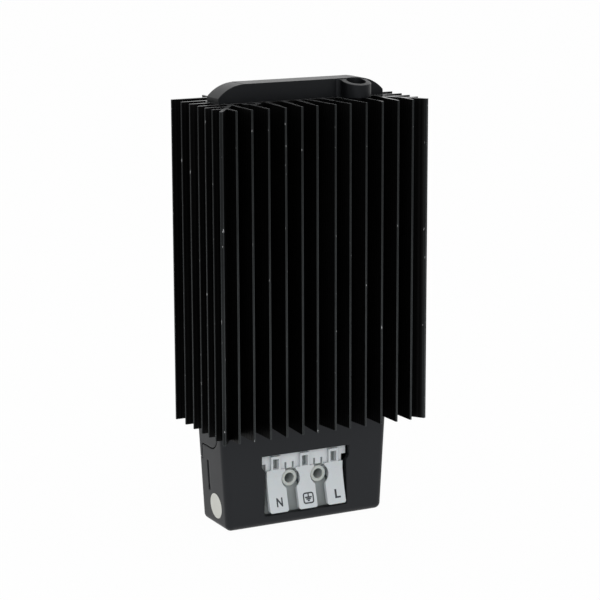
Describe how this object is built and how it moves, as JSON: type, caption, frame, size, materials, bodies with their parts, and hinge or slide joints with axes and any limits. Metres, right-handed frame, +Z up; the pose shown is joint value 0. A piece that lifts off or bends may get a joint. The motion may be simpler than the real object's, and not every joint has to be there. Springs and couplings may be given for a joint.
{
  "type": "enclosure heater",
  "caption": "Finned enclosure heater: black extruded heat sink, moulded cap, connection housing with white lever terminal, rail clip.",
  "frame": {"origin": "middle of the connection housing's base face, the lowest face of the part", "axes": "+Z up along the heat sink's fins, -Y towards the front with the lever terminal, +X to the right seen from the front"},
  "size_m": [0.0708, 0.0471, 0.1394],
  "materials": {
    "fins": "black anodised, satin",
    "moulding": "fine grain",
    "terminal": "smooth",
    "screws": "zinc plated",
    "spring": "bare spring steel",
    "contact": "tinned brass",
    "stone": "sintered ceramic",
    "electrode": "rolled sheet",
    "film": "amber film",
    "lead_blue": "silicone",
    "lead_brown": "silicone",
    "lead_green": "silicone"
  },
  "bodies": {
    "frame": {"heatsink": "fins", "end_cap": "moulding", "cap_screw": "screws", "terminal_cover": "moulding", "terminal_base": "moulding", "base_screws": "screws", "terminal_block": "terminal", "block_screws": "screws", "clamp_spring_n": "spring", "clamp_spring_earth": "spring", "clamp_spring_l": "spring", "contact_bar_n": "contact", "contact_bar_earth": "contact", "contact_bar_l": "contact", "ptc_stone_1": "stone", "ptc_stone_2": "stone", "ptc_stone_3": "stone", "electrode_front": "electrode", "electrode_rear": "electrode", "insulating_sleeve": "film", "lead_n": "lead_blue", "lead_earth": "lead_green", "lead_l": "lead_brown", "earth_ring": "electrode", "earth_screw": "screws", "rail_clip": "spring", "clip_screws": "screws"},
    "lever_n": {"lever_n": "terminal"},
    "lever_earth": {"lever_earth": "terminal"},
    "lever_l": {"lever_l": "terminal"}
  },
  "joints": [
    {"name": "press_n", "type": "hinge", "parent": "frame", "child": "lever_n", "pos_m": [-0.0102, -0.0056, 0.0161], "axis": [1, 0, 0], "range_deg": [0, 9], "stiffness_Nm_per_rad": 0.02},
    {"name": "press_earth", "type": "hinge", "parent": "frame", "child": "lever_earth", "pos_m": [0, -0.0056, 0.0161], "axis": [1, 0, 0], "range_deg": [0, 9], "stiffness_Nm_per_rad": 0.02},
    {"name": "press_l", "type": "hinge", "parent": "frame", "child": "lever_l", "pos_m": [0.0102, -0.0056, 0.0161], "axis": [1, 0, 0], "range_deg": [0, 9], "stiffness_Nm_per_rad": 0.02}
  ]
}
